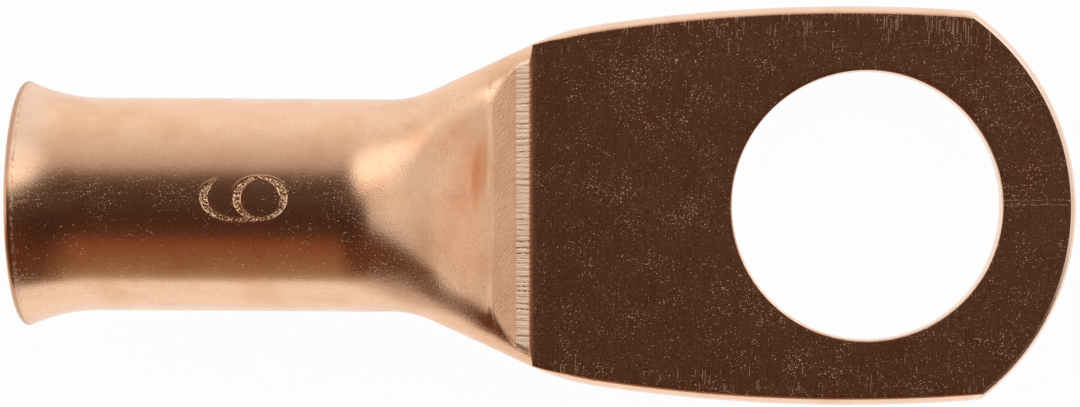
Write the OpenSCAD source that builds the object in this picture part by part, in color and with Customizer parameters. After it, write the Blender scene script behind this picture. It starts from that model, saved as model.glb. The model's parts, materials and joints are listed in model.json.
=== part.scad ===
// Copper tube lug: one piece of seamless tube, belled at the wire end and pressed flat into a palm.
// The origin is on the axis of the stud hole, at the palm's underside. The wire barrel points to -X.

/* [Palm] */
// Diameter of the stud hole
stud_hole_d = 10.3; // [4:0.1:12]
// Greatest width of the palm
palm_w = 15.3; // [14:0.05:18]
// Thickness of the pressed palm
palm_t = 1.6; // [1:0.1:2.4]
// From the stud hole's centre back to the foot of the shoulder
shoulder_back = 12.8; // [10:0.1:24]
// Width of the lug across the foot of the shoulder
shoulder_w = 12.4; // [10:0.1:14]
// From the stud hole's centre back to the widest place of the palm
widest_back = 0.7; // [0:0.1:3]
// Radius of the bow of the palm's sides, seen from above
side_bow_r = 65; // [30:1:200]
// How far the bulged sides of the squeezed tube reach in over the palm
side_bulge = 0.7; // [0.3:0.05:1.2]
// How much taller than the palm the sides would be if the press had not flattened them
over_press = 0.2; // [0.1:0.05:0.4]

/* [Tip] */
// From the stud hole's centre to the tip
tip_reach = 8; // [7:0.05:12]
// Radius of the sheared end, seen from above
tip_r = 9.15; // [9:0.05:16]
// Radius of the edge that the shear rolls over along the top of the tip
tip_roll = 0.3; // [0.1:0.05:0.6]

/* [Shoulder] */
// Height of the steep wall that the press shears at the palm's end
shear_h = 1.25; // [0.5:0.05:2]
// Lean of that wall from upright, in degrees
shear_lean = 22; // [5:1:35]
// Lean from upright of the pressed bevel above the wall, in degrees
bevel_lean = 36; // [25:1:45]
// From the foot of the shoulder back to the crease at the bevel's top
crease_back = 1.15; // [0.8:0.05:2]
// Height of the crease over the palm's top face
crease_h = 2.25; // [1.8:0.05:3]
// Fall of the neck's top line at the crease, as a slope
crease_slope = 0.7; // [0.3:0.05:1]

/* [Neck] */
// Length of the neck, from the foot of the shoulder to the round barrel
neck_len = 5.5; // [4:0.1:12]
// Share of the neck's length over which its sides spread
side_spread = 0.8; // [0.6:0.05:0.95]
// How far past the foot of the shoulder the tube goes on closing
close_len = 1.5; // [0.8:0.1:2.5]
// From the foot of the shoulder back to the end of the wire cavity
cavity_back = 0.6; // [0.5:0.05:0.9]
// Height of the slit at the end of the cavity
slit_h = 0.2; // [0.1:0.05:0.4]

/* [Barrel] */
// Outer diameter of the tube
barrel_d = 7.94; // [6:0.02:10]
// Thickness of the tube's wall
wall = 1.12; // [0.6:0.02:1.5]
// Length of the barrel, from the neck to its mouth
barrel_len = 13.2; // [8:0.1:40]
// How far the bell would stand out from the barrel at the mouth, were its edge left sharp
bell_rise = 0.66; // [0.3:0.02:1.5]
// Length of the bell
bell_len = 2.8; // [2:0.1:5]
// Radius of the mouth's outer edge
rim_round = 0.15; // [0.1:0.05:0.4]

/* [Hidden] */
$fn = 96;

copper = [0.80, 0.50, 0.36];

barrel_r = barrel_d / 2;
bore_r = barrel_r - wall;
bell_bow_r = (bell_len ^ 2 + bell_rise ^ 2) / (2 * bell_rise);
mouth_r = bell_at(bell_bow_r, bell_len - rim_round); // greatest radius, where the rounded edge begins
axis_z = mouth_r; // the bell and the palm lie on one plane

step_x = -shoulder_back;
crease_x = step_x - crease_back;
neck_x = step_x - neck_len;
closed_x = step_x + close_len;
cavity_x = step_x - cavity_back;
mouth_x = neck_x - barrel_len;
bell_x = mouth_x + bell_len;
tip_cx = tip_reach - tip_r;

crown_r = palm_t + over_press; // top line of the unpressed side bulge on the palm
spread_len = neck_len * side_spread;

// Facets of the loft: pieces per quarter turn, and stations along each stretch
turn_steps = 10;
neck_steps = 22;
close_steps = 6;
palm_steps = 18;
cavity_steps = 16;
bell_steps = 8;
roll_steps = 3;
// The loft's flat facets start this far inside the round tube wall
facet_gap = 0.02;
// Length by which cutters pass the surfaces that they cut
past = 1;
// Half the width of the corner where two lines of the outline blend
blend = 0.4;

function mix(a, b, t) = a + (b - a) * t;
function soft_min(a, b, k) = min(a, b) - max(k - abs(a - b), 0) ^ 2 / (4 * k);
function soft_max(a, b, k) = -soft_min(-a, -b, k);

// Height at x of a cubic that leaves [x0, z0] with slope m0 and reaches [x1, z1] with slope m1
function cubic(x, x0, z0, m0, x1, z1, m1) =
    let (d = x1 - x0, t = min(max((x - x0) / d, 0), 1))
    z0 * (2 * t ^ 3 - 3 * t ^ 2 + 1) + m0 * d * (t ^ 3 - 2 * t ^ 2 + t)
    + z1 * (3 * t ^ 2 - 2 * t ^ 3) + m1 * d * (t ^ 3 - t ^ 2);

// Top line of the squeezed tube, from the barrel over the crease and into the palm
function crown_z(x) = x < crease_x
    ? cubic(x, neck_x, axis_z + barrel_r, 0, crease_x, palm_t + crease_h, -crease_slope)
    : cubic(x, crease_x, palm_t + crease_h, -crease_slope, closed_x, crown_r, 0);
// Bottom line, which sinks from the barrel to the palm's underside
function keel_z(x) = cubic(x, neck_x, axis_z - barrel_r, 0, closed_x, -over_press, 0);

// Half the width of the lug: the round tube, the straight spread of the neck, the bowed palm
function spread_w(x) = mix(shoulder_w / 2, barrel_r, (step_x - x) / spread_len);
function bow_w(x) = palm_w / 2 - (x + widest_back) ^ 2 / (2 * side_bow_r);
function half_w(x) = soft_max(barrel_r, soft_min(spread_w(x), bow_w(x), blend), blend);

// Reach of the rounded side at a height of the squeezed tube: all of it while the tube is round
function side_reach(h) =
    mix(side_bulge, barrel_r, (h - palm_t - 2 * over_press) / (barrel_d - palm_t - 2 * over_press));

// A flattened ring across X: a quarter ellipse at each corner and flats between them
function ring(x, half, low, high, reach) =
    let (r = min(reach, half - facet_gap / 2))
    [for (q = [0:3]) for (i = [(q == 2 ? 1 : 0):(q == 3 ? turn_steps - 1 : turn_steps)])
        let (a = 90 * (q + i / turn_steps), side = (q == 0 || q == 3) ? 1 : -1)
        [x, side * (half - r) + r * cos(a), (low + high) / 2 + (high - low) / 2 * sin(a)]];

function body_ring(x) =
    let (low = keel_z(x) + facet_gap, high = crown_z(x) - facet_gap)
    ring(x, half_w(x) - facet_gap, low, high, side_reach(high - low) - facet_gap);

// Slope of the top line, for the wall's thickness across it
function crown_slope(x) = (crown_z(x + 0.01) - crown_z(x - 0.01)) / 0.02;
function roof_z(x) = crown_z(x) - wall * sqrt(1 + crown_slope(x) ^ 2);
function slit_z(x) = max(keel_z(x), 0) + wall;
// Top and bottom of the wire cavity, which close on a slit between the two pressed walls
function cavity_top(x) = x < crease_x
    ? roof_z(x)
    : mix(roof_z(crease_x), slit_top, (x - crease_x) / (cavity_x - crease_x));
function cavity_low(x) = x < crease_x
    ? slit_z(x)
    : mix(slit_z(crease_x), slit_top - slit_h, (x - crease_x) / (cavity_x - crease_x));
slit_top = (palm_t + slit_h) / 2;

function cavity_ring(x) =
    let (low = cavity_low(x) - facet_gap, high = cavity_top(x) + facet_gap,
         reach = mix(slit_h / 2, bore_r, (high - low - slit_h) / (2 * bore_r - slit_h)))
    ring(x, half_w(x) - wall + facet_gap, low, high, reach);

// Radius of the bell at a distance d towards the mouth, on an arc of radius r round the bell's bow
function bell_at(r, d) = barrel_r + bell_bow_r - sqrt(r ^ 2 - d ^ 2);

function stations(from, to, count) = [for (i = [0:count - 1]) mix(from, to, i / count)];

// Skins a list of rings that run along +X, and closes both ends
module loft(rings) {
    n = len(rings[0]);
    last = n * (len(rings) - 1);
    polyhedron(
        points = [for (r = rings) each r],
        faces = concat(
            [[for (i = [0:n - 1]) i]],
            [for (k = [0:n:last - 1]) for (i = [0:n - 1])
                [k + i, k + n + i, k + n + (i + 1) % n, k + (i + 1) % n]],
            [[for (i = [n - 1:-1:0]) last + i]]
        )
    );
}

// The squeezed tube before the press cuts its shoulder and faces
module squeezed_tube() {
    xs = concat(
        stations(neck_x, crease_x, neck_steps),
        stations(crease_x, closed_x, close_steps),
        stations(closed_x, tip_reach + past, palm_steps),
        [tip_reach + past]
    );
    loft([for (x = xs) body_ring(x)]);
}

module wire_cavity() {
    xs = concat(
        stations(neck_x, crease_x, cavity_steps),
        [crease_x, mix(crease_x, cavity_x, 0.5), cavity_x]
    );
    loft([for (x = xs) cavity_ring(x)]);
}

// Everything that the top die pushes away: over the palm, up the sheared wall and back along the bevel
module top_die() {
    wall_run = shear_h * tan(shear_lean);
    top = axis_z + barrel_d;
    bevel_run = (top - palm_t - shear_h) * tan(bevel_lean);
    reach = palm_w;
    translate([0, reach, 0])
        rotate([90, 0, 0])
            linear_extrude(height = 2 * reach)
                polygon([
                    [step_x, palm_t],
                    [step_x - wall_run, palm_t + shear_h],
                    [step_x - wall_run - bevel_run, top],
                    [tip_reach + 2 * past, top],
                    [tip_reach + 2 * past, palm_t]
                ]);
}

// Everything below the flat anvil
module anvil() {
    translate([neck_x - past, -palm_w, -past])
        cube([shoulder_back + neck_len + tip_reach + 3 * past, 2 * palm_w, past]);
}

// Outside of the shear that rounds the tip, with the rolled top edge
module tip_shear() {
    difference() {
        translate([tip_cx, -palm_w, -past])
            cube([tip_r + 2 * past, 2 * palm_w, palm_t + 2 * past]);
        translate([tip_cx, 0, 0])
            rotate_extrude()
                polygon(concat(
                    [[0, -2 * past], [tip_r, -2 * past]],
                    [for (i = [0:roll_steps]) let (a = 60 * i / roll_steps)
                        [tip_r - tip_roll * (1 - cos(a)), palm_t - tip_roll * (1 - sin(a))]],
                    [[tip_r - tip_roll * 3, palm_t + tip_roll], [tip_r - tip_roll * 3, palm_t + 2 * past],
                     [0, palm_t + 2 * past]]
                ));
    }
}

module stud_hole() {
    translate([0, 0, -past])
        cylinder(d = stud_hole_d, h = palm_t + 2 * past);
}

// The round barrel with its bell: the tube's wall turned about the wire axis
module barrel() {
    run = bell_len - rim_round;
    translate([0, 0, axis_z])
        rotate([0, 90, 0])
            rotate_extrude()
                polygon(concat(
                    [[barrel_r, neck_x]],
                    [for (i = [0:bell_steps]) let (d = run * i / bell_steps)
                        [bell_at(bell_bow_r, d), bell_x - d]],
                    [for (a = [30:30:90])
                        [mouth_r - rim_round * (1 - cos(a)), mouth_x + rim_round * (1 - sin(a))]],
                    [for (i = [bell_steps:-1:0]) let (d = bell_len * i / bell_steps)
                        [bell_at(bell_bow_r + wall, d), bell_x - d]],
                    [[bore_r, neck_x]]
                ));
}

module lug() {
    color(copper)
        union() {
            barrel();
            difference() {
                squeezed_tube();
                wire_cavity();
                top_die();
                anvil();
                tip_shear();
                stud_hole();
            }
        }
}

lug();
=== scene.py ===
import json
import math
import bpy
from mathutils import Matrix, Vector, noise

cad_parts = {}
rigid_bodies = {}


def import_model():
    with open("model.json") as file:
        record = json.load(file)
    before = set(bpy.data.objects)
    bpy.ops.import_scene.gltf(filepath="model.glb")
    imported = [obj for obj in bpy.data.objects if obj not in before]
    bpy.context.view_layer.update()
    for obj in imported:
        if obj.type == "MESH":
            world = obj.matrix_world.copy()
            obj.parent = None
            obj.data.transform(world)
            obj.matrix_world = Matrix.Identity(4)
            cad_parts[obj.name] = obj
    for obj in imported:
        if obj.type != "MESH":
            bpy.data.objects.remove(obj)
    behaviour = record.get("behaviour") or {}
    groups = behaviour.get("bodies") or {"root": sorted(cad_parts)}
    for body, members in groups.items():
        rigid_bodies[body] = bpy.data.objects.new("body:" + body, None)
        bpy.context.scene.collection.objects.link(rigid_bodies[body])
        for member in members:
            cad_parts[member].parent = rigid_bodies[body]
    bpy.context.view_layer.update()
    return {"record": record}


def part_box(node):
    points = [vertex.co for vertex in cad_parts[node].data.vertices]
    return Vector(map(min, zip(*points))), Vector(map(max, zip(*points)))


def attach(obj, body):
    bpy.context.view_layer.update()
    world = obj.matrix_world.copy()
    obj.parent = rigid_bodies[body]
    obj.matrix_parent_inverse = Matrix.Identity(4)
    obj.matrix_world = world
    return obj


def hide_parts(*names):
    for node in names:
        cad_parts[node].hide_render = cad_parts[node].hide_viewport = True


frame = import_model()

mm = 0.001
print("frame loaded")


def deselectAll():
    if bpy.context.mode != "OBJECT":
        bpy.ops.object.mode_set(mode="OBJECT")
    bpy.ops.object.select_all(action="DESELECT")


def makeActive(piece):
    deselectAll()
    piece.select_set(True)
    bpy.context.view_layer.objects.active = piece


def applyModifier(piece, kind, settings):
    makeActive(piece)
    modifier = piece.modifiers.new(kind.title(), kind)
    for key, value in settings.items():
        setattr(modifier, key, value)
    bpy.ops.object.modifier_apply(modifier=modifier.name)


# sizes of the lug, in millimetres and degrees

mounts = {m["name"]: m for m in frame["record"]["mounts"]}
lowCorner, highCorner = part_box("lug")

lug = {
    "holeR": mounts["stud_hole"]["dims"]["r_mm"],
    "palmT": mounts["stud_hole"]["dims"]["length_mm"],
    "boreR": mounts["wire_barrel"]["dims"]["r_mm"],
    "axisZ": mounts["wire_barrel"]["pos_m"][2] / mm,
    "mouthX": lowCorner[0] / mm,
    "tipX": highCorner[0] / mm,
    "palmW": 15.3,
    "shoulderBack": 12.74,
    "shoulderW": 12.4,
    "widestBack": 0.7,
    "sideBowR": 65,
    "sideBulge": 0.7,
    "overPress": 0.2,
    "tipR": 9.15,
    "tipRoll": 0.3,
    "shearH": 1.25,
    "shearLean": 24.3,
    "shearFoot": 0.70,  # share of the wall's height that rises steeply from the palm
    "footRun": 0.05,
    "bevelLean": 41,
    "creaseBack": 1.15,
    "creaseH": 1.97,
    "creaseSlope": 0.85,
    "rampLead": 1.4,  # the crown starts to dip this far before the neck
    "rampFrom": 0.1,
    "rampSlope": 0.58,
    "rampDrop": 0.33,
    "bellyLen": 2.1,  # an easy slope first, then a steep one down to the crease
    "bellyDrop": 1.68,
    "bellySlope": 1.08,
    "shoulderLen": 2.2,  # over this length the crown's edges tighten to the sides' own roundness
    "openLate": 0.25,  # the crown's round opens this far after its first dip
    "openBlend": 0.08,
    "flattest": 0.0004,  # curve left in the crown at the crease
    "footLen": 2,  # over this length the arch's foot sinks to the sides' middle
    "pullLen": 0.3,  # the die's corners bite fully this far past the crease
    "neckLen": 5.5,
    "sideSpread": 0.8,
    "closeLen": 1.5,
    "cavityBack": 0.6,
    "slitH": 0.2,
    "wall": 1.12,
    "bellRise": 0.66,
    "bellLen": 2.8,
    "rimRound": 0.15,
    "cornerRound": 0.05,  # where the die's faces meet the bulged sides
    "outlineBlend": 0.4,
    "tubeTurn": 0.0065,  # how far the tube drifts sideways over its length, as a slope
    "tipOff": -0.11,  # the tip's shear stood a little to one side
}

barrelR = lug["boreR"] + lug["wall"]
stepX = -lug["shoulderBack"]
creaseX = stepX - lug["creaseBack"]
neckX = stepX - lug["neckLen"]
crownX = neckX - lug["rampLead"]
rampX = neckX - lug["rampFrom"]
bellyX = rampX + lug["bellyLen"]
closedX = stepX + lug["closeLen"]
cavityX = stepX - lug["cavityBack"]
bellX = lug["mouthX"] + lug["bellLen"]
tipCentreX = lug["tipX"] - lug["tipR"]
wallTopX = stepX - lug["shearH"] * math.tan(math.radians(lug["shearLean"]))
bellBowR = (lug["bellLen"] ** 2 + lug["bellRise"] ** 2) / (2 * lug["bellRise"])


def mix(a, b, t):
    return a + (b - a) * t


def clamp(t, low=0.0, high=1.0):
    return max(low, min(high, t))


def smooth(t):
    t = clamp(t)
    return t * t * (3 - 2 * t)


def softMin(a, b, k):
    return min(a, b) - max(k - abs(a - b), 0) ** 2 / (4 * k)


def softMax(a, b, k):
    return -softMin(-a, -b, k)


def cubic(x, x0, z0, m0, x1, z1, m1):
    d = x1 - x0
    t = clamp((x - x0) / d)
    rise = z0 * (2 * t ** 3 - 3 * t ** 2 + 1) + z1 * (3 * t ** 2 - 2 * t ** 3)
    return rise + m0 * d * (t ** 3 - 2 * t ** 2 + t) + m1 * d * (t ** 3 - t ** 2)


def crownZ(x):  # top line of the squeezed tube
    foot = lug["palmT"] + lug["overPress"]
    line = [
        (crownX, lug["axisZ"] + barrelR, 0),
        (rampX, lug["axisZ"] + barrelR - lug["rampDrop"], -lug["rampSlope"]),
        (bellyX, lug["axisZ"] + barrelR - lug["rampDrop"] - lug["bellyDrop"], -lug["bellySlope"]),
        (creaseX, lug["palmT"] + lug["creaseH"], -lug["creaseSlope"]),
        (closedX, foot, 0),
    ]
    for start, end in zip(line, line[1:]):
        if x < end[0]:
            return cubic(x, *start, *end)
    return foot


def keelZ(x):  # bottom line
    return cubic(x, neckX, lug["axisZ"] - barrelR, 0, closedX, -lug["overPress"], 0)


def dieZ(x):  # underside of the top die: palm face, sheared wall, bevel
    if x >= stepX:
        return lug["palmT"]
    if x >= wallTopX:
        t = (stepX - x) / (stepX - wallTopX)
        rise = mix(t, 1 - math.exp(-t / lug["footRun"]), lug["shearFoot"])
        return lug["palmT"] + lug["shearH"] * rise
    return lug["palmT"] + lug["shearH"] + (wallTopX - x) / math.tan(math.radians(lug["bevelLean"]))


def halfWidth(x):
    spreadLen = lug["neckLen"] * lug["sideSpread"]
    spread = mix(lug["shoulderW"] / 2, barrelR, (stepX - x) / spreadLen)
    bow = lug["palmW"] / 2 - (x + lug["widestBack"]) ** 2 / (2 * lug["sideBowR"])
    return softMax(barrelR, softMin(spread, bow, lug["outlineBlend"]), lug["outlineBlend"])


def sideReach(h):
    flat = lug["palmT"] + 2 * lug["overPress"]
    return mix(lug["sideBulge"], barrelR, (h - flat) / (2 * barrelR - flat))


def crownReach(x):  # how round each edge of the crown is
    return mix(barrelR, sideReach(crownZ(x) - keelZ(x)), smooth((x - crownX) / lug["shoulderLen"]))


def archDrop(y, half, bow, edge):  # fall from the crown of an arch with a broad top and tighter edges
    if bow - edge < 1e-4:
        return bow - math.sqrt(max(bow ** 2 - y ** 2, 0))
    lean = math.asin(clamp((half - edge) / (bow - edge)))
    if y <= bow * math.sin(lean):
        return bow - math.sqrt(bow ** 2 - y ** 2)
    return bow - (bow - edge) * math.cos(lean) - math.sqrt(max(edge ** 2 - (y - half + edge) ** 2, 0))


def bellR(bowR, d):  # radius of the bell at a distance d towards the mouth
    return barrelR + bellBowR - math.sqrt(bowR ** 2 - d ** 2)


def crossing(f, a, b):  # where f changes sign between a and b
    for _ in range(40):
        m = (a + b) / 2
        if (f(a) > 0) == (f(m) > 0):
            a = m
        else:
            b = m
    return (a + b) / 2


creaseLineX = crossing(lambda x: dieZ(x) - crownZ(x), creaseX - 0.4, wallTopX)
keelLineX = crossing(keelZ, neckX, closedX)

# the skin as rings of points

ringCounts = {"top": 26, "side": 20, "low": 12}  # points along each stretch of half a ring
turnOnBarrel = math.radians(50)  # where the top stretch of a round ring ends
nearEdge = 0.04  # a ring or point this close to an edge keeps it crisp


def sideArc(ring, angle):  # angle from upright, round the bulged side
    reach = ring["crownReach"] if angle < math.pi / 2 else ring["reach"]
    mid = (ring["low"] + ring["high"]) / 2
    height = (ring["high"] - ring["low"]) / 2
    return (ring["half"] - reach * (1 - math.sin(angle)), mid + height * math.cos(angle))


def capStretch(ring, cut, turn, count, upward):
    # from the middle of the top (or bottom) to its corner, then the angle where the side begins
    reach = ring["crownReach"] if upward else ring["reach"]
    flat = ring["half"] - reach
    mid = (ring["low"] + ring["high"]) / 2
    height = (ring["high"] - ring["low"]) / 2
    sign = 1 if upward else -1
    rounding = lug["cornerRound"]
    isCut = cut is not None
    if isCut:
        start = math.acos(clamp(sign * (cut - mid) / height, -1, 1))
        length = flat + reach * math.sin(start)
        level = cut
    else:
        start = turn
        length = flat + reach * turn
        level = mid + sign * height

    def along(s):
        if isCut or s <= flat:
            return (s, level)
        angle = (s - flat) / reach
        return (flat + reach * math.sin(angle), mid + sign * height * math.cos(angle))

    last = length - rounding
    support = last - nearEdge
    points = [along(support * i / (count - 1)) for i in range(count)]
    points.append(along(last))
    corner = along(length)
    if isCut:
        pull = 0.3 * rounding * smooth(ring["pull"])
        corner = (corner[0] - pull, corner[1] - sign * pull)
    points.append(corner)
    return points, start + rounding / reach


def arched(ring, y, z):  # the upper half becomes an arch, and the lower half meets its foot
    mid = (ring["low"] + ring["high"]) / 2
    if z >= mid:
        drop = ring["stretch"] * archDrop(y, ring["half"], ring["bow"], ring["crownReach"])
        return (y, ring["high"] - drop)
    return (y, mix(ring["low"], ring["waist"], (z - ring["low"]) / (mid - ring["low"])))


def ringPoints(ring):
    # half a ring from the top's middle to the bottom's middle, then the same mirrored
    topPoints, topAngle = capStretch(ring, ring.get("topCut"), ring["topTurn"], ringCounts["top"], True)
    lowPoints, lowAngle = capStretch(ring, ring.get("lowCut"), ring["lowTurn"], ringCounts["low"], False)
    sides = []
    for i in range(ringCounts["side"] + 1):
        angle = mix(topAngle, math.pi - lowAngle, i / ringCounts["side"])
        sides.append(sideArc(ring, angle))
    halfRing = topPoints + sides + lowPoints[::-1]
    if "bow" in ring:
        halfRing = [arched(ring, y, z) for y, z in halfRing]
    full = halfRing + [(-y, z) for y, z in halfRing[-2:0:-1]]
    return [(ring["x"], y, z) for y, z in full]


def roundRing(x, r):
    return {
        "x": x, "half": r, "reach": r, "crownReach": r,
        "low": lug["axisZ"] - r, "high": lug["axisZ"] + r,
        "topTurn": turnOnBarrel, "lowTurn": turnOnBarrel,
    }


def squeezedRing(x):
    low, high = keelZ(x), crownZ(x)
    half = halfWidth(x)
    ring = {"x": x, "half": half, "low": low, "high": high, "reach": min(sideReach(high - low), half)}
    ring["crownReach"] = min(crownReach(x), half)
    ring["topTurn"] = turnOnBarrel * (1 - smooth((x - crownX) / (creaseLineX - crownX)))
    ring["lowTurn"] = turnOnBarrel * (1 - smooth((x - neckX) / (keelLineX - neckX)))
    ring["pull"] = (x - creaseLineX) / lug["pullLen"]
    if x >= creaseLineX:
        ring["topCut"] = min(dieZ(x), high)
    else:  # the crown opens out from the barrel's round to the die's flat
        late = lug["openLate"]
        opened = softMax(0, (x - crownX - late) / (creaseLineX - crownX - late), lug["openBlend"])
        ring["bow"] = max(1 / mix(1 / barrelR, lug["flattest"], clamp(opened)), half)
        foot = archDrop(half, half, ring["bow"], ring["crownReach"])
        sinking = smooth((x - creaseLineX + lug["footLen"]) / lug["footLen"])
        ring["stretch"] = mix(1, (high - low) / 2 / foot, sinking)
        ring["waist"] = high - ring["stretch"] * foot
    if x >= keelLineX:
        ring["lowCut"] = max(0.0, low)
    return ring


def cavityRing(x):  # one wall inside the tube, and past the crease it closes on a slit
    openX = min(x, creaseX)
    step = 0.01
    slope = (crownZ(openX + step) - crownZ(openX - step)) / (2 * step)
    roof = crownZ(openX) - lug["wall"] * math.sqrt(1 + slope ** 2)
    floor = max(keelZ(openX), 0) + lug["wall"]
    slitTop = (lug["palmT"] + lug["slitH"]) / 2
    if x > creaseX:
        t = (x - creaseX) / (cavityX - creaseX)
        roof = mix(roof, slitTop, t)
        floor = mix(floor, slitTop - lug["slitH"], t)
    half = halfWidth(x) - lug["wall"]
    opened = (roof - floor - lug["slitH"]) / (2 * lug["boreR"] - lug["slitH"])
    reach = min(mix(lug["slitH"] / 2, lug["boreR"], opened), half)
    return {
        "x": x, "half": half, "reach": reach, "crownReach": reach,
        "low": floor, "high": roof,
        "topTurn": turnOnBarrel, "lowTurn": turnOnBarrel,
    }


def spaced(start, end, step):  # start, and on to just before end
    count = max(1, round(abs(end - start) / step))
    return [mix(start, end, i / count) for i in range(count)]


numeralFrom, numeralTo = -24.9, -20.8  # the stretch of barrel that carries the size numeral
innerRim = [(0.08, -0.03), (0.025, 0.01), (0, 0.07), (0, 0.11)]  # from the mouth's face, from the bore
ringStep = {  # distance between rings, closer where the shape or a mark needs them
    "cavity": 0.22, "bore": 0.9, "innerBell": 0.2,
    "bell": 0.16, "barrel": 0.4, "numeral": 0.13,
    "neck": 0.13, "beforeCrease": 0.045, "bevel": 0.1, "wall": 0.08, "wallFoot": 0.02,
    "closing": 0.18, "palm": 0.7,
}


def boreRings():  # from the blind end of the cavity back to the mouth's face
    rings = [cavityRing(x) for x in spaced(cavityX, neckX, ringStep["cavity"])]
    for x in spaced(neckX, bellX, ringStep["bore"]):
        rings.append(roundRing(x, lug["boreR"]))
    innerBowR = bellBowR + lug["wall"]
    for d in spaced(0, lug["bellLen"] - 0.08, ringStep["innerBell"]):
        rings.append(roundRing(bellX - d, bellR(innerBowR, d)))
    innerMouth = bellR(innerBowR, lug["bellLen"])
    for back, out in innerRim:
        rings.append(roundRing(lug["mouthX"] + back, innerMouth + out))
    rings.append(roundRing(lug["mouthX"], mix(innerMouth, lug["axisZ"], 0.5)))
    return rings


def barrelRings():  # from the mouth's rounded edge, over the bell, to the crown's first dip
    rim = lug["rimRound"]
    mouthR = lug["axisZ"]
    rings = [roundRing(lug["mouthX"], mouthR - rim - nearEdge)]
    for i in range(5):
        a = math.radians(22.5 * i)
        rings.append(roundRing(lug["mouthX"] + rim * (1 - math.cos(a)), mouthR - rim * (1 - math.sin(a))))
    for d in spaced(lug["bellLen"] - rim - 0.05, 0, ringStep["bell"]):
        rings.append(roundRing(bellX - d, bellR(bellBowR, d)))
    xs = spaced(bellX, numeralFrom, ringStep["barrel"])
    xs += spaced(numeralFrom, numeralTo, ringStep["numeral"])
    xs += spaced(numeralTo, crownX, ringStep["barrel"])
    return rings + [roundRing(x, barrelR) for x in xs]


def pressedRings():  # over the neck, down the die's bevel and wall, and along the palm
    fineX = creaseLineX - 0.9
    footX = stepX - 0.12
    lastX = lug["tipX"] + 0.6  # past the tip, which is cut later
    xs = spaced(crownX, fineX, ringStep["neck"])
    xs += spaced(fineX, creaseLineX - nearEdge, ringStep["beforeCrease"])
    xs += [creaseLineX - nearEdge, creaseLineX, creaseLineX + nearEdge]
    xs += spaced(creaseLineX + nearEdge, wallTopX - nearEdge, ringStep["bevel"])[1:]
    xs += [wallTopX - nearEdge, wallTopX, wallTopX + nearEdge]
    xs += spaced(wallTopX + nearEdge, footX, ringStep["wall"])[1:]
    xs += spaced(footX, stepX, ringStep["wallFoot"])
    xs += [stepX, stepX + nearEdge]
    xs += spaced(stepX + nearEdge, closedX, ringStep["closing"])[1:]
    xs += spaced(closedX, lastX, ringStep["palm"]) + [lastX]
    return [squeezedRing(x) for x in xs]


def makeSkin(name):
    rings = [ringPoints(ring) for ring in boreRings() + barrelRings() + pressedRings()]
    around = len(rings[0])
    deselectAll()
    # a plain tube drawn out ring by ring: from the blind end, round the mouth and on to the tip
    start = (rings[0][0][0] * mm, 0, lug["axisZ"] * mm)
    bpy.ops.mesh.primitive_circle_add(
        vertices=around, radius=lug["boreR"] * mm, location=start, rotation=(0, math.pi / 2, 0)
    )
    skin = bpy.context.object
    skin.name = name
    skin.data.name = name
    bpy.ops.object.mode_set(mode="EDIT")
    bpy.ops.mesh.select_all(action="SELECT")
    for ring, following in zip(rings, rings[1:]):
        step = (following[0][0] - ring[0][0]) * mm
        bpy.ops.mesh.extrude_edges_move(TRANSFORM_OT_translate={"value": (step, 0, 0)})
    bpy.ops.object.mode_set(mode="OBJECT")
    bpy.ops.object.transform_apply(location=True, rotation=True, scale=True)
    # each ring is then pressed to its own section
    for index, v in enumerate(skin.data.vertices):
        ring, place = divmod(index, around)
        v.co = Vector(rings[ring][place]) * mm
    bpy.ops.object.mode_set(mode="EDIT")
    bpy.ops.mesh.select_all(action="SELECT")
    bpy.ops.mesh.fill_holes(sides=0)
    bpy.ops.mesh.normals_make_consistent(inside=False)
    bpy.ops.object.mode_set(mode="OBJECT")
    return skin


copperLug = makeSkin("copperLug")
print("skin pressed:", len(copperLug.data.vertices), "vertices")

# stud hole and tip, cut by turned tools

cut = {
    "holeRoll": 0.09,  # rounded upper edge of the punched hole
    "rollSweep": {"hole": 78, "tip": 56},
    "burr": 0.045,  # small break along the lower edges
    "plyGap": 0.035,  # hairline where the tube's two walls meet
    "past": 0.1,  # the worked edges run on this far into the air
    "clear": 0.6,  # room over and under the palm
    "tipDepth": 4.5,
    "holeSteps": 180,
    "tipSteps": 160,
}


def cutWall(r, outward, roll, sweep):
    # the cut face from below the palm to above it, as (distance from the axis, height) pairs
    gap, burr, past = cut["plyGap"], cut["burr"], cut["past"]
    middle = lug["palmT"] / 2
    points = [(r + outward * (burr + past), -past), (r, burr)]
    points += [(r, middle - gap), (r + outward * gap, middle), (r, middle + gap)]
    for i in range(6):
        a = math.radians(sweep * i / 5)
        points.append((r + outward * roll * (1 - math.cos(a)), lug["palmT"] - roll * (1 - math.sin(a))))
    lastR, lastZ = points[-1]
    points.append((lastR + outward * past * math.sin(a), lastZ + past * math.cos(a)))
    return points


def holeProfile():
    wall = cutWall(lug["holeR"], 1, cut["holeRoll"], cut["rollSweep"]["hole"])
    low, high = -cut["clear"], lug["palmT"] + cut["clear"]
    return [(0, low), (wall[0][0], low)] + wall + [(wall[-1][0], high), (0, high)]


def tipProfile():
    wall = cutWall(lug["tipR"], -1, lug["tipRoll"], cut["rollSweep"]["tip"])
    low, high = -cut["clear"], lug["palmT"] + cut["clear"]
    far = lug["tipR"] + cut["tipDepth"]
    return [(far, low), (wall[0][0], low)] + wall + [(wall[-1][0], high), (far, high), (far, low)]


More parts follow.
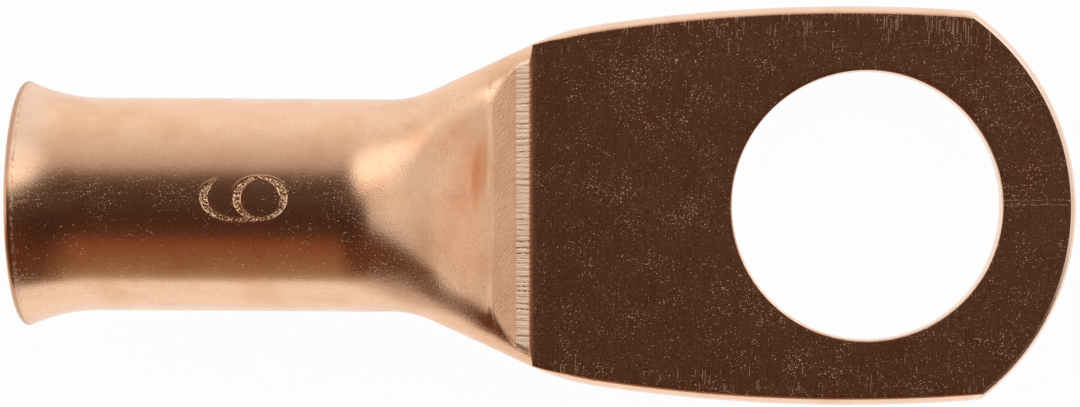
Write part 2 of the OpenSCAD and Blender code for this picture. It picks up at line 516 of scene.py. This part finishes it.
def turnedTool(name, profile, centre, sweep, steps):  # a drawn line spun round an upright axis
    axisFoot = (centre[0] * mm, centre[1] * mm, 0)
    deselectAll()
    bpy.ops.mesh.primitive_plane_add(size=mm, location=axisFoot)
    tool = bpy.context.object
    tool.name = name
    bpy.ops.object.mode_set(mode="EDIT")
    bpy.ops.mesh.merge(type="CENTER")
    reach, height = profile[0]
    bpy.ops.transform.translate(value=(0, reach * mm, height * mm))
    for (r0, z0), (r1, z1) in zip(profile, profile[1:]):
        step = (0, (r1 - r0) * mm, (z1 - z0) * mm)
        bpy.ops.mesh.extrude_vertices_move(TRANSFORM_OT_translate={"value": step})
    bpy.ops.mesh.select_all(action="SELECT")
    bpy.ops.mesh.spin(steps=steps, angle=math.radians(sweep), center=axisFoot, axis=(0, 0, 1), dupli=False)
    bpy.ops.mesh.select_all(action="SELECT")
    bpy.ops.mesh.remove_doubles(threshold=0.0005 * mm)
    if sweep < 360:
        bpy.ops.mesh.fill_holes(sides=0)
    bpy.ops.mesh.select_all(action="SELECT")
    bpy.ops.mesh.normals_make_consistent(inside=False)
    bpy.ops.object.mode_set(mode="OBJECT")
    makeActive(tool)
    bpy.ops.object.transform_apply(location=True, rotation=True, scale=True)
    return tool


def cutAway(piece, tool):
    applyModifier(piece, "BOOLEAN", {"operation": "DIFFERENCE", "solver": "EXACT", "object": tool})
    deselectAll()
    tool.select_set(True)
    bpy.ops.object.delete()


cutAway(copperLug, turnedTool("studPunch", holeProfile(), (0, 0), 360, cut["holeSteps"]))
cutAway(copperLug, turnedTool("tipShear", tipProfile(), (tipCentreX, lug["tipOff"]), 180, cut["tipSteps"]))
print("hole and tip cut:", len(copperLug.data.vertices), "vertices")

# the size numeral struck on the barrel's crown

numeral = {
    "loopX": -22.28, "loopY": 0.25, "loopA": 0.85, "loopB": 0.755,
    "tailX": -23.10, "tailY": 0.28, "tailA": 1.24, "tailB": 0.83,
    "tailStart": 124,  # degrees round the tail's own ellipse, which it leaves at 270
    "tailTaper": 42,  # degrees over which it thickens from its tip
    "thick": 0.11, "thin": 0.036, "foot": 0.05,  # half widths of the stroke
    "depth": 0.06, "grain": 0.12, "grainSize": 0.07,  # the stamp left a grainy floor
    "lip": 0.008, "lipAt": 1.7, "lipWide": 0.5,  # low rim beside the stroke, in half widths from its line
    "margin": 0.45, "cuts": 4,
}


def roundStroke(dx, dy, a, b):  # distance from an ellipse's line, and the angle round it
    rho = math.hypot(dx / a, dy / b)
    if rho < 1e-6:
        return b, 0.0
    return abs(rho - 1) * math.hypot(dx, dy) / rho, math.atan2(dy / b, dx / a)


def strokeAt(x, y):  # distance from the numeral's line over the half width there
    dx, dy = x - numeral["loopX"], y - numeral["loopY"]
    loopD, loopTurn = roundStroke(dx, dy, numeral["loopA"], numeral["loopB"])
    lean = abs(math.cos(loopTurn)) ** 1.5
    nearest = loopD / mix(numeral["thin"], numeral["thick"], lean)
    dx, dy = x - numeral["tailX"], y - numeral["tailY"]
    tailD, tailTurn = roundStroke(dx, dy, numeral["tailA"], numeral["tailB"])
    tailTurn %= 2 * math.pi
    start = math.radians(numeral["tailStart"])
    if start <= tailTurn <= 1.5 * math.pi:
        lean = abs(math.cos(tailTurn)) ** 1.5
        taper = 0.35 + 0.65 * smooth((tailTurn - start) / math.radians(numeral["tailTaper"]))
        nearest = min(nearest, tailD / (taper * mix(numeral["foot"], numeral["thick"], lean)))
    if numeral["tailX"] <= x <= numeral["loopX"]:
        t = (x - numeral["tailX"]) / (numeral["loopX"] - numeral["tailX"])
        footY = mix(numeral["tailY"] - numeral["tailB"], numeral["loopY"] - numeral["loopB"], smooth(t))
        nearest = min(nearest, abs(y - footY) / numeral["foot"])
    return nearest


def openOnFaces(piece, wanted):  # edit mode, with only the wanted faces selected
    makeActive(piece)
    bpy.ops.object.mode_set(mode="EDIT")
    bpy.ops.mesh.select_mode(type="FACE")
    bpy.ops.mesh.select_all(action="DESELECT")
    bpy.ops.object.mode_set(mode="OBJECT")
    for face in piece.data.polygons:
        face.select = wanted(face.center / mm)
    bpy.ops.object.mode_set(mode="EDIT")


def newLayers(piece, *names):  # one number for each point, under each name
    for name in names:
        piece.data.attributes.new(name, "FLOAT", "POINT")
    return [piece.data.attributes[name].data for name in names]


def strikeNumeral(piece):
    left = numeral["tailX"] - numeral["tailA"] - numeral["margin"]
    right = numeral["loopX"] + numeral["loopA"] + numeral["margin"]
    side = numeral["tailB"] + numeral["tailY"] + numeral["margin"]
    crown = lug["axisZ"] + 0.8 * barrelR
    openOnFaces(piece, lambda c: left < c.x < right and abs(c.y) < side and c.z > crown)
    bpy.ops.mesh.subdivide(number_cuts=numeral["cuts"])
    bpy.ops.object.mode_set(mode="OBJECT")
    (struck,) = newLayers(piece, "struck")
    for v in piece.data.vertices:
        if not v.select:
            continue
        x, y, z = v.co / mm
        turn = math.atan2(y, z - lug["axisZ"])
        near = strokeAt(x, turn * barrelR)
        inside = 1 - smooth((near - 0.55) / 0.75)
        rim = math.exp(-((near - numeral["lipAt"]) / numeral["lipWide"]) ** 2)
        grain = noise.noise(Vector((x, y, 0)) / numeral["grainSize"])
        r = barrelR - inside * (numeral["depth"] + numeral["grain"] * grain) + numeral["lip"] * rim
        v.co.y = r * math.sin(turn) * mm
        v.co.z = (lug["axisZ"] + r * math.cos(turn)) * mm
        struck[v.index].value = inside


strikeNumeral(copperLug)
print("numeral struck:", len(copperLug.data.vertices), "vertices")

# marks of the die on the shoulder: drag lines on the wall, wrinkles on the bevel

shoulder = {
    "cuts": 4,
    "dragDepth": 0.03, "dragSpacing": 0.22, "dragWidth": 0.15, "dragLean": 0.12,
    "wrinkleDepth": 0.003, "wrinkleWidth": 0.045, "wrinkleLength": 0.17, "wrinkleLean": 0.35,
    "wrinkleDirt": 25, "bevelDirt": 0.4,
}


def markShoulder(piece):
    lowest = lug["palmT"] + 0.03

    def underDie(c):
        return creaseLineX < c.x < stepX - 0.03 and c.z > lowest and dieZ(c.x) - c.z < 0.02

    openOnFaces(piece, underDie)
    bpy.ops.mesh.subdivide(number_cuts=shoulder["cuts"])
    bpy.ops.mesh.select_less()
    bpy.ops.object.mode_set(mode="OBJECT")
    grooved, faced = newLayers(piece, "grooved", "faced")
    for v in piece.data.vertices:
        x, y, z = v.co / mm
        if creaseLineX - 0.01 < x < stepX + 0.01 and z > lowest and abs(dieZ(x) - z) < 0.03:
            faced[v.index].value = 1.0
        if not v.select:
            continue
        lean = math.radians(lug["bevelLean"])
        up = (z - lug["palmT"]) / lug["shearH"]
        bent = y + shoulder["dragLean"] * up * (y / 6 + noise.noise(Vector((y * 0.4, 0, 5))))
        place = bent / shoulder["dragSpacing"] + 1.1 * noise.noise(Vector((bent * 1.1, 0.15 * up, 3)))
        strength = 0.5 + 1.6 * max(0, noise.noise(Vector((math.floor(place) * 0.73, 0.5 * up, 8))))
        groove = max(0, 1 - abs(place - math.floor(place) - 0.5) / shoulder["dragWidth"]) * min(strength, 1)
        drag = -groove * shoulder["dragDepth"]
        across = (x + shoulder["wrinkleLean"] * y) / shoulder["wrinkleWidth"]
        wrinkle = noise.noise(Vector((across, y / shoulder["wrinkleLength"], 0))) * shoulder["wrinkleDepth"]
        onWall = smooth((x - wallTopX + 0.08) / 0.12)
        push = mix(wrinkle, drag, onWall) * mm
        # painted shade in the wall's drag grooves and the bevel's wrinkle valleys, carried as 'grooved'
        grooveShade = clamp(mix(-shoulder["wrinkleDirt"] * wrinkle, groove, onWall))
        grooved[v.index].value = grooveShade * mix(shoulder["bevelDirt"], 1, onWall)
        v.co.x += push * math.cos(lean)
        v.co.z += push * math.sin(lean)


# the lip that the die raised along the crease, and the hollows before it

lip = {"height": 0.018, "width": 0.085, "back": 0.08}
hollows = [  # long dents, turned by so many degrees from the barrel's direction
    {"place": (-14.52, 1.35), "turn": 84, "half": 1.7, "wide": 0.36, "depth": 0.07, "worn": 1.0},
    {"place": (-15.9, 1.9), "turn": 57, "half": 2.1, "wide": 0.65, "depth": 0.075, "worn": 0.15},
]


def hollowAt(hollow, x, y):
    turn = math.radians(hollow["turn"])
    dx, dy = x - hollow["place"][0], y - hollow["place"][1]
    along = (dx * math.cos(turn) + dy * math.sin(turn)) / hollow["half"]
    across = (dy * math.cos(turn) - dx * math.sin(turn)) / hollow["wide"]
    return max(0, 1 - along ** 2 - across ** 2) ** 1.5


def dentNeck(piece):
    (dented,) = newLayers(piece, "dented")
    band = 0.9  # only the skin this close under the crown's line moves
    reach = 3.6  # and this far back from the crease
    for v in piece.data.vertices:
        x, y, z = v.co / mm
        if not creaseLineX - reach < x < creaseLineX - 0.005 or z < crownZ(x) - band:
            continue
        inward = smooth((z - crownZ(x) + band) / 0.7)
        raised = lip["height"] * math.exp(-((x - creaseLineX + lip["back"]) / lip["width"]) ** 2)
        depths = [hollowAt(hollow, x, y) for hollow in hollows]
        sunk = sum(depth * hollow["depth"] for depth, hollow in zip(depths, hollows))
        # how much painted shade each hollow carries, stored as 'dented'
        worn = max(depth * hollow["worn"] for depth, hollow in zip(depths, hollows))
        dented[v.index].value = inward * worn
        v.co.z += (raised - sunk) * inward * mm


dentNeck(copperLug)
markShoulder(copperLug)
print("shoulder marked:", len(copperLug.data.vertices), "vertices")

for v in copperLug.data.vertices:  # the tube sits a little turned on the palm
    v.co.y += lug["tubeTurn"] * max(0, neckX * mm - v.co.x)

makeActive(copperLug)
bpy.ops.object.shade_smooth_by_angle(angle=math.radians(32))
applyModifier(copperLug, "WEIGHTED_NORMAL", {"keep_sharp": True, "weight": 60})

# shader maths


class Wire:  # a node's output, which carries a value over a surface
    def __init__(self, paint, socket):
        self.paint = paint
        self.socket = socket

    def __add__(self, other):
        return self.paint.maths("ADD", self, other)

    def __radd__(self, other):
        return self.paint.maths("ADD", other, self)

    def __sub__(self, other):
        return self.paint.maths("SUBTRACT", self, other)

    def __rsub__(self, other):
        return self.paint.maths("SUBTRACT", other, self)

    def __mul__(self, other):
        return self.paint.maths("MULTIPLY", self, other)

    def __rmul__(self, other):
        return self.paint.maths("MULTIPLY", other, self)

    def __truediv__(self, other):
        return self.paint.maths("DIVIDE", self, other)

    def __rtruediv__(self, other):
        return self.paint.maths("DIVIDE", other, self)


class Paint:  # adds nodes to one tree
    def __init__(self, tree):
        self.tree = tree
        tree.nodes.clear()

    def node(self, kind, settings=None, sockets=None, output=0):
        made = self.tree.nodes.new(kind)
        for key, value in (settings or {}).items():
            if key == "stops":
                self.setStops(made.color_ramp, value)
            else:
                setattr(made, key, value)
        for key, value in (sockets or {}).items():
            if isinstance(value, Wire):
                self.tree.links.new(value.socket, made.inputs[key])
            else:
                made.inputs[key].default_value = value
        return Wire(self, made.outputs[output]) if made.outputs else made

    def setStops(self, ramp, stops):
        while len(ramp.elements) < len(stops):
            ramp.elements.new(1.0)
        for element, (place, colour) in zip(ramp.elements, stops):
            element.position = place
            element.color = (*colour, 1)

    def maths(self, operation, *values):
        return self.node("ShaderNodeMath", {"operation": operation}, dict(enumerate(values)))

    def between(self, value, low, high):  # 0 at low and 1 at high, whichever is the greater
        settings = {"interpolation_type": "SMOOTHSTEP"}
        return self.node("ShaderNodeMapRange", settings, {"Value": value, 1: low, 2: high})

    def blend(self, amount, first, second):
        first = first if isinstance(first, Wire) else (*first, 1)
        second = second if isinstance(second, Wire) else (*second, 1)
        return self.node("ShaderNodeMix", {"data_type": "RGBA"}, {0: amount, 6: first, 7: second}, 2)

    def most(self, *values):  # the greatest of several masks
        result = values[0]
        for value in values[1:]:
            result = self.maths("MAXIMUM", result, value)
        return result

    def away(self, value):  # distance from nought
        return self.maths("ABSOLUTE", value)

    def carried(self, name):  # a number that the mesh's points carry
        return self.node("ShaderNodeAttribute", {"attribute_name": name}, None, "Fac")

    def noise(self, vector, scale, detail=2, roughness=0.5):
        sockets = {"Vector": vector, "Scale": scale, "Detail": detail, "Roughness": roughness}
        return self.node("ShaderNodeTexNoise", None, sockets)

    def cells(self, vector, scale):  # distance to the nearest cell's middle, and a number for each cell
        made = self.node("ShaderNodeTexVoronoi", None, {"Vector": vector, "Scale": scale}).socket.node
        return Wire(self, made.outputs["Distance"]), Wire(self, made.outputs["Color"])

    def drawnOut(self, vector, degrees, lengths, shift=(0, 0, 0)):  # stretched along one direction
        turn = (0, 0, math.radians(degrees))
        sockets = {"Vector": vector, "Rotation": turn, "Scale": lengths, "Location": shift}
        return self.node("ShaderNodeMapping", {"vector_type": "TEXTURE"}, sockets)


# copper

copper = {
    "bright": (0.95, 0.61, 0.40),
    "tarnished": (0.88, 0.51, 0.31),
    "scuffed": (0.98, 0.82, 0.71),
    "wiped": (1.0, 0.77, 0.60),
    "struck": (1.0, 0.84, 0.65),
    "grimy": (0.42, 0.20, 0.11),
    "worn": (0.80, 0.42, 0.23),
    "rough": 0.19,
    "neckRough": 0.05,
}
heights = {  # of the relief that is too fine for the mesh, in millimetres
    "grain": 0.0035, "neckGrain": 0.0032, "pressedPeel": 0.003,
    "pit": 0.045, "dust": 0.012, "scratch": 0.003,
    "ridges": 0.02, "strokes": 0.028, "drags": 0.02,
}
speckles = {  # cells to a millimetre, size of a mark, share of the cells that carry one, shift
    "bright": (2.2, 0.12, 0.06, (0, 0, 0)),
    "grit": (5.0, 0.15, 0.10, (5, 2, 0)),
    "flecks": (2.6, 0.10, 0.14, (2, 9, 3)),
}
scores = {  # direction in degrees, length, width, shift, rarity
    "cross": (88, 0.9, 0.035, (3, 1, 0), 0.92),
    "along": (4, 1.1, 0.03, (0, 7, 0), 0.95),
    "slant": (58, 0.6, 0.03, (9, 2, 4), 0.93),
}
drawn = {  # a twin scratch from the hole to the tip
    "y": 0.12, "wander": 0.12, "apart": 0.09, "edges": (0.028, 0.008),
}
neckShadeBand = {  # painted shade: a dark band slanting down one side of the neck
    "x": -18, "y": -2.95, "slope": 0.3, "across": (0.1, 0.65),
    "starts": (-18.9, -17.6), "ends": (-15.1, -14.3), "above": (2.8, 3.8),
}
roughened = {  # what each kind of mark adds to the roughness
    "bright": 0.25, "marks": 0.25, "lines": 0.15, "pressed": 0.12, "struck": -0.07,
    "sheared": 0.12, "handLine": 0.25, "bellEnd": 0.22,
}


def scratches(p, place, degrees, length, width, shift, rarity):  # thin lines along one direction
    streaks = p.noise(p.drawnOut(place, degrees, (length, width, length), shift), 1, 0)
    patches = p.noise(p.drawnOut(place, 0, (4, 4, 4), shift), 1, 1)
    return p.between(streaks + patches * 0.3, rarity, rarity + 0.05)


def specks(p, place, perMm, size, share, shift):  # small round marks on a share of the cells
    distance, chance = p.cells(p.drawnOut(place, 0, (1, 1, 1), shift), perMm)
    return (1 - p.between(distance, size * 0.5, size)) * p.between(chance, 1 - share, 1 - share + 0.02)


def workedZones(p, x, y, z):  # where the dies and the shear have worked the copper
    zone = {"struck": p.carried("struck"), "pressed": p.carried("faced")}
    zone["dented"] = p.carried("dented")
    zone["grooved"] = p.carried("grooved")
    zone["foot"] = p.between(x, wallTopX - 0.10, wallTopX + 0.02) * zone["pressed"]
    zone["neck"] = p.between(x, crownX - 0.3, rampX) * (1 - p.between(x, stepX - 0.02, stepX + 0.02))
    zone["palm"] = 1 - p.between(p.away(z - lug["palmT"]), 0.01, 0.04)
    tipX = x - tipCentreX
    tipY = y - lug["tipOff"]
    holeD = p.maths("SQRT", x * x + y * y)
    tipD = p.maths("SQRT", tipX * tipX + tipY * tipY)
    nearTip = p.between(x, 2.0, 2.2)
    inHole = 1 - p.between(holeD, lug["holeR"] + 0.01, lug["holeR"] + 0.04)
    onTip = p.between(tipD, lug["tipR"] - 0.04, lug["tipR"] - 0.01) * nearTip
    zone["sheared"] = p.most(inHole, onTip)
    zone["rolled"] = p.between(tipD, lug["tipR"] - 0.30, lug["tipR"] - 0.20) * nearTip
    underTop = 1 - p.between(z, lug["palmT"] - 0.12, lug["palmT"] - 0.02)
    zone["flank"] = p.between(x, stepX, stepX + 1) * underTop
    # the mouth's worn end on one side: rougher, and paler copper that is also a painted highlight
    zone["bellEnd"] = p.between(x, lug["mouthX"] + 1.8, lug["mouthX"] + 0.4) * p.between(y, 0.6, 2.2)
    ringed = p.node("ShaderNodeCombineXYZ", None, {0: p.maths("ARCTAN2", y, tipX) * 70, 1: z * 0.7})
    zone["ridges"] = p.noise(ringed, 1, 2, 0.5)  # upright tearing on the sheared faces
    return zone


def copperMaterial():
    made = bpy.data.materials.new("copper")
    made.use_nodes = True
    p = Paint(made.node_tree)
    place = p.node("ShaderNodeTexCoord", None, None, "Object")
    place = p.node("ShaderNodeVectorMath", {"operation": "SCALE"}, {0: place, "Scale": 1 / mm})
    split = p.node("ShaderNodeSeparateXYZ", None, {0: place}).socket.node
    x, y, z = (Wire(p, out) for out in split.outputs)
    zone = workedZones(p, x, y, z)
    neck, palm, pressed, foot = (zone[name] for name in ("neck", "palm", "pressed", "foot"))
    bevel = pressed * (1 - foot)

    # the copper's own unevenness
    grain = p.noise(place, 16, 3, 0.65)
    orangePeel = p.noise(place, 7, 2, 0.55)
    mottle = p.noise(place, 0.55, 3, 0.5)
    clusters = p.between(p.noise(place, 0.8, 3, 0.65), 0.45, 0.65)
    brushed = p.noise(p.drawnOut(place, 88, (0.9, 0.06, 0.9)), 1, 2, 0.6)
    strokes = p.noise(p.drawnOut(place, 62, (0.20, 0.03, 0.20)), 1, 1, 0.5)
    drags = p.noise(p.drawnOut(place, 2, (1.2, 0.05, 1.2)), 1, 2, 0.6)

    # pits, dust and dark flecks
    bright = specks(p, place, *speckles["bright"])
    grit = specks(p, place, *speckles["grit"]) * (0.25 + 0.75 * clusters)
    fine = p.between(p.noise(place, 19, 1, 0.5) + clusters * 0.07 + neck * 0.03 + palm * 0.015, 0.73, 0.87)
    flecks = specks(p, p.drawnOut(place, 8, (1.8, 1, 1)), *speckles["flecks"]) * (1 - palm)
    dust = p.most(grit * 0.8, fine)
    nicked = p.between(p.away(x - lug["mouthX"] - 0.30), 0.07, 0.03)
    nicked = nicked * p.between(p.noise(place, 5, 2, 0.6), 0.42, 0.58)
    marks = p.most(bright, nicked, dust * 0.6)

    # scratches, more of them near the palm's sides
    edge = p.between(p.away(y), 5.2, 6.8)
    degrees, length, width, shift, rarity = scores["cross"]
    cross = scratches(p, place, degrees, length, width, shift, rarity - edge * 0.07) * (0.35 + 0.65 * edge)
    cross = cross * p.between(p.noise(place, 0.9, 1, 0.5), 0.40, 0.56) * palm
    along = scratches(p, place, *scores["along"]) * 0.4
    slant = scratches(p, place, *scores["slant"]) * 0.25
    lines = p.most(cross, along, slant) * (1 - neck)
    handLine = p.away(y - drawn["y"] - (p.noise(place, 1.2) - 0.5) * drawn["wander"])
    handLine = p.between(p.away(handLine - drawn["apart"]), *drawn["edges"])
    handLine = handLine * p.between(x, lug["holeR"], lug["holeR"] + 0.1)
    handLine = handLine * p.between(p.noise(place, 9, 2, 0.6), 0.38, 0.55)

    height = grain * (heights["grain"] + neck * heights["neckGrain"])
    height = height - bright * heights["pit"] - dust * heights["dust"]
    height = height + orangePeel * (neck * heights["neckGrain"] + pressed * heights["pressedPeel"])
    height = height - (lines + handLine) * heights["scratch"]
    height = height + zone["ridges"] * zone["sheared"] * heights["ridges"]
    height = height + strokes * bevel * heights["strokes"] + drags * foot * heights["drags"]
    normal = p.node("ShaderNodeBump", None, {"Height": height, "Distance": mm, "Strength": 1.0})

    # bright copper, tarnish, dirt and wear, each laid over the last, with painted shade in the neck's
    # hollows, the shoulder's grooves, at the mouth's rim and down one side of the neck, and a painted
    # highlight on one side of the mouth
    # the dark copper used both for grime and for painted shade
    grimy = copper["grimy"]
    patchy = p.between(mottle + (grain - 0.5) * 0.5, 0.42, 0.72)
    colour = p.blend(patchy, copper["bright"], copper["tarnished"])
    colour = p.blend(p.between(grain, 0.52, 0.34) * (0.25 + palm * 0.35), colour, grimy)
    dulled = p.most(flecks * 0.75, p.between(brushed, 0.50, 0.32) * palm * 0.28)
    colour = p.blend(dulled, colour, grimy)
    # painted shade: darker, redder copper in the hollows before the crease
    shadeInHollows = p.maths("MINIMUM", zone["dented"] * (0.6 + grain * 1.2), 1)
    colour = p.blend(shadeInHollows, colour, copper["worn"])
    # paler copper where the dies, shear and scratches worked it; on one side of the mouth the paleness is
    # also a painted highlight
    pale = p.most(
        foot * 0.8, handLine * 0.65, marks * 0.35 + lines * 0.2 + bright * 0.5, zone["sheared"] * 0.75,
        pressed * 0.25, zone["flank"] * 0.25, zone["bellEnd"] * 0.35, zone["rolled"] * 0.6
    )
    colour = p.blend(pale, colour, p.blend(pressed, copper["scuffed"], copper["wiped"]))
    struck = zone["struck"]
    colour = p.blend(struck * 0.85, colour, copper["struck"])
    outlined = p.between(struck, 0.01, 0.15) * (1 - p.between(struck, 0.35, 0.65))
    colour = p.blend(outlined * 0.4, colour, grimy)
    # painted shade: a dark band down one side of the neck, laid into the colour
    band = 1 - p.between(p.away(y + (x - neckShadeBand["x"]) * neckShadeBand["slope"] - neckShadeBand["y"]), *neckShadeBand["across"])
    band = band * p.between(x, *neckShadeBand["starts"]) * (1 - p.between(x, *neckShadeBand["ends"]))
    band = band * p.between(z, *neckShadeBand["above"])
    colour = p.blend(band * (0.35 + grain * 0.5), colour, grimy)
    # painted shade: darker in the shoulder's grooves and wrinkle valleys, and in the low streaks of the
    # drag lines and bevel strokes
    colour = p.blend(zone["grooved"] * 0.6 + p.between(drags, 0.46, 0.34) * foot * 0.35, colour, grimy)
    colour = p.blend(p.between(strokes, 0.46, 0.30) * bevel * 0.35, colour, grimy)
    # painted shade: a dark line round the mouth's rounded rim
    rimLine = p.between(p.away(x - lug["mouthX"] - 0.13), 0.12, 0.05)
    colour = p.blend(rimLine * 0.6, colour, grimy)

    rough = copper["rough"] + (grain - 0.5) * 0.12 + (mottle - 0.5) * 0.08 + neck * copper["neckRough"]
    masks = {"bright": bright, "marks": marks, "lines": lines, "handLine": handLine, **zone}
    for name, added in roughened.items():
        rough = rough + masks[name] * added
    rough = rough + (brushed - 0.5) * palm * 0.15
    shader = p.node("ShaderNodeBsdfPrincipled", None, {
        "Base Color": colour, "Metallic": 1.0, "Roughness": rough, "Normal": normal,
    })
    p.node("ShaderNodeOutputMaterial", None, {"Surface": shader})
    return made


copperLug.data.materials.clear()
copperLug.data.materials.append(copperMaterial())
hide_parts("lug")
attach(copperLug, "root")
print("copper laid on")

# table

table = {"size": 1.2, "colour": (0.95, 0.95, 0.95), "glow": 0.97}


def tableMaterial():
    made = bpy.data.materials.new("whiteTable")
    made.use_nodes = True
    p = Paint(made.node_tree)
    rays = p.node("ShaderNodeLightPath").socket.node
    kinds = ("Is Camera Ray", "Is Glossy Ray", "Is Transmission Ray")
    seen = p.most(*(Wire(p, rays.outputs[kind]) for kind in kinds))
    matt = p.node("ShaderNodeBsdfDiffuse", None, {"Color": (*table["colour"], 1)})
    glow = p.node("ShaderNodeEmission", None, {"Color": (1, 1, 1, 1), "Strength": 1.0})
    shader = p.node("ShaderNodeMixShader", None, {0: seen * table["glow"], 1: matt, 2: glow})
    p.node("ShaderNodeOutputMaterial", None, {"Surface": shader})
    return made


deselectAll()
bpy.ops.mesh.primitive_grid_add(x_subdivisions=2, y_subdivisions=2, size=table["size"], location=(0, 0, 0))
floor = bpy.context.object
floor.name = "tableTop"
floor.data.materials.append(tableMaterial())

# soft studio round the lug: a dark opening overhead, pale walls

studio = {  # (degrees from straight up, colour) on each side
    "behind": [
        (0, (0.088, 0.053, 0.040)), (18, (0.082, 0.052, 0.042)), (27, (0.11, 0.072, 0.055)),
        (34, (0.22, 0.17, 0.145)), (42, (0.50, 0.44, 0.41)), (61, (0.71, 0.66, 0.63)),
        (90, (0.93, 0.92, 0.91)),
    ],
    "before": [
        (0, (0.085, 0.050, 0.037)), (16, (0.055, 0.028, 0.021)), (32, (0.09, 0.038, 0.026)),
        (46, (0.25, 0.095, 0.050)), (60, (0.27, 0.140, 0.075)), (76, (0.33, 0.21, 0.13)),
        (90, (0.52, 0.40, 0.30)),
    ],
    "beforePalm": [
        (0, (0.085, 0.050, 0.037)), (16, (0.05, 0.026, 0.02)), (32, (0.05, 0.025, 0.019)),
        (46, (0.09, 0.036, 0.022)), (60, (0.12, 0.048, 0.027)), (76, (0.12, 0.06, 0.035)),
        (90, (0.22, 0.14, 0.10)),
    ],
    "barrelEnd": [
        (0, (0.088, 0.053, 0.040)), (12, (0.068, 0.040, 0.029)), (36, (0.070, 0.042, 0.032)),
        (46, (1.2, 1.17, 1.14)), (70, (1.2, 1.17, 1.14)), (90, (0.95, 0.93, 0.92)),
    ],
    "palmEnd": [
        (0, (0.088, 0.053, 0.040)), (6, (0.118, 0.076, 0.058)), (14, (0.09, 0.055, 0.042)),
        (46, (0.075, 0.045, 0.035)), (53, (0.28, 0.24, 0.21)), (58, (1.0, 0.98, 0.96)),
        (66, (0.97, 0.95, 0.93)), (76, (0.88, 0.85, 0.82)), (83, (0.64, 0.59, 0.55)),
        (90, (0.46, 0.41, 0.37)),
    ],
}
# a pale patch between the wall behind and the palm's end, in degrees from straight up and round
softLamp = {"tilt": 56, "turn": 40, "wide": 29, "core": 5, "colour": (1.5, 1.46, 1.43)}


def studioWorld():
    world = bpy.data.worlds.new("studio")
    bpy.context.scene.world = world
    world.use_nodes = True
    p = Paint(world.node_tree)
    toward = p.node("ShaderNodeTexCoord", None, None, "Generated")
    split = p.node("ShaderNodeSeparateXYZ", None, {0: toward}).socket.node
    x, y, z = (Wire(p, out) for out in split.outputs)
    tilt = p.maths("ARCCOSINE", z) / (math.pi / 2)
    level = p.most(p.maths("SQRT", x * x + y * y), 0.001)
    side = y / level
    end = x / level
    walls = {}
    for name, stops in studio.items():
        settings = {"stops": [(degrees / 90, colour) for degrees, colour in stops]}
        walls[name] = p.node("ShaderNodeValToRGB", settings, {"Fac": tilt})
    colour = p.blend(p.between(end, -0.5, 0.5), walls["barrelEnd"], walls["palmEnd"])
    colour = p.blend(p.between(side + end * 0.25, 0.15, 0.85), colour, walls["behind"])
    before = p.blend(p.between(end, -0.15, 0.3), walls["before"], walls["beforePalm"])
    colour = p.blend(p.between(p.away(end) * 0.35 - side, 0.48, 0.80), colour, before)
    lampTilt, lampTurn = math.radians(softLamp["tilt"]), math.radians(softLamp["turn"])
    lowness = math.sin(lampTilt)
    lampward = (lowness * math.cos(lampTurn), lowness * math.sin(lampTurn), math.cos(lampTilt))
    facing = x * lampward[0] + y * lampward[1] + z * lampward[2]
    wide, core = (math.cos(math.radians(softLamp[part])) for part in ("wide", "core"))
    colour = p.blend(p.between(facing, wide, core), colour, softLamp["colour"])
    seen = p.node("ShaderNodeLightPath", None, None, "Is Camera Ray")
    colour = p.blend(seen, colour, (1, 1, 1))
    light = p.node("ShaderNodeBackground", None, {"Color": colour, "Strength": 1.0})
    p.node("ShaderNodeOutputWorld", None, {"Surface": light})


studioWorld()
print("studio lit")

# camera, straight above the palm, with its frame shifted along the barrel

eye = {"place": (-5.208, 0.076, 141.0), "lens": 121.75, "sensor": 36, "shift": -0.1764}
camera = bpy.data.objects.new("camera", bpy.data.cameras.new("camera"))
bpy.context.scene.collection.objects.link(camera)
camera.data.lens = eye["lens"]
camera.data.sensor_width = eye["sensor"]
camera.data.shift_x = eye["shift"]
camera.data.clip_start = 0.005
camera.location = Vector(eye["place"]) * mm
bpy.context.scene.camera = camera
bpy.context.scene.view_settings.view_transform = "Standard"
